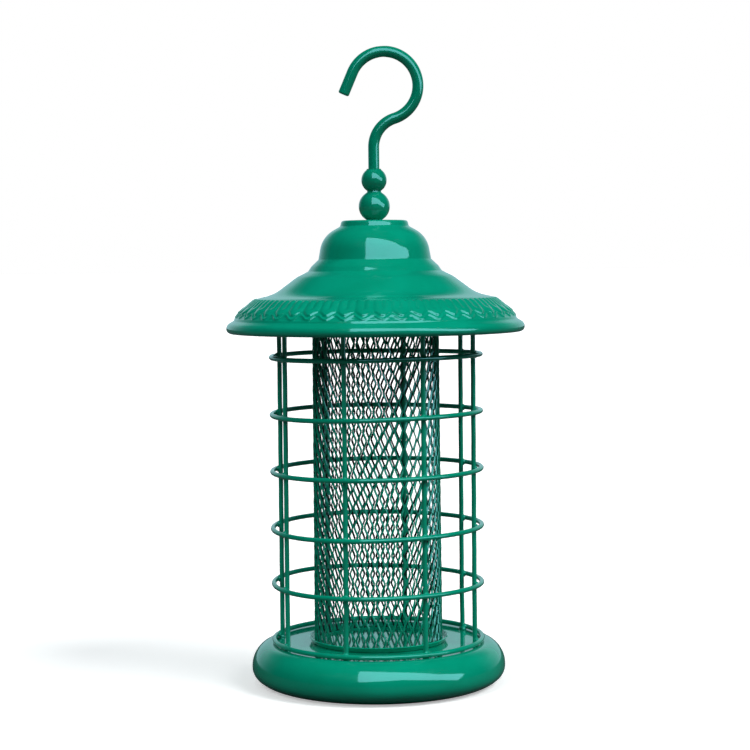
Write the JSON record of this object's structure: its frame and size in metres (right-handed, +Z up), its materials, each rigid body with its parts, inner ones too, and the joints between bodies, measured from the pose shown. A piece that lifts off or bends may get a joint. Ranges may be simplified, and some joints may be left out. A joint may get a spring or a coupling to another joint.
{
  "type": "hanging bird feeder",
  "caption": "Hanging bird feeder: a mesh seed tube in a round wire cage on a rounded base, under a bell-shaped roof with a ball finial and a swivelling hook.",
  "frame": {"origin": "centre of the flat underside that the feeder stands on", "axes": "+Z up along the feeder's axis; the hook lies in the XZ plane and opens towards -X"},
  "size_m": [0.2006, 0.2006, 0.4285],
  "materials": {
    "green_enamel": "gloss",
    "green_wire": "gloss",
    "green_mesh": "gloss",
    "zinc": "zinc plated"
  },
  "bodies": {
    "feeder": {"base_shell": "green_enamel", "tube_foot": "green_enamel", "mesh_tube": "green_mesh", "tube_top_band": "green_enamel", "bridge_strap": "green_enamel", "bridge_nut": "zinc", "cage_ring_1": "green_wire", "cage_ring_2": "green_wire", "cage_ring_3": "green_wire", "cage_ring_4": "green_wire", "cage_ring_5": "green_wire", "cage_ring_6": "green_wire", "cage_upright_1": "green_wire", "cage_upright_2": "green_wire", "cage_upright_3": "green_wire", "cage_upright_4": "green_wire", "cage_upright_5": "green_wire", "cage_upright_6": "green_wire", "cage_upright_7": "green_wire", "cage_upright_8": "green_wire"},
    "roof": {"roof_shell": "green_enamel"},
    "hook": {"hook_rod": "green_enamel", "lower_ball": "green_enamel", "upper_ball": "green_enamel", "roof_washer": "zinc", "hook_nut": "zinc"}
  },
  "joints": [
    {"name": "roof_lift", "type": "slide", "parent": "feeder", "child": "roof", "axis": [0, 0, 1], "range_m": [0, 0.15]},
    {"name": "hook_turn", "type": "hinge", "parent": "roof", "child": "hook", "pos_m": [0, 0, 0.3122], "axis": [0, 0, 1], "continuous": true}
  ]
}
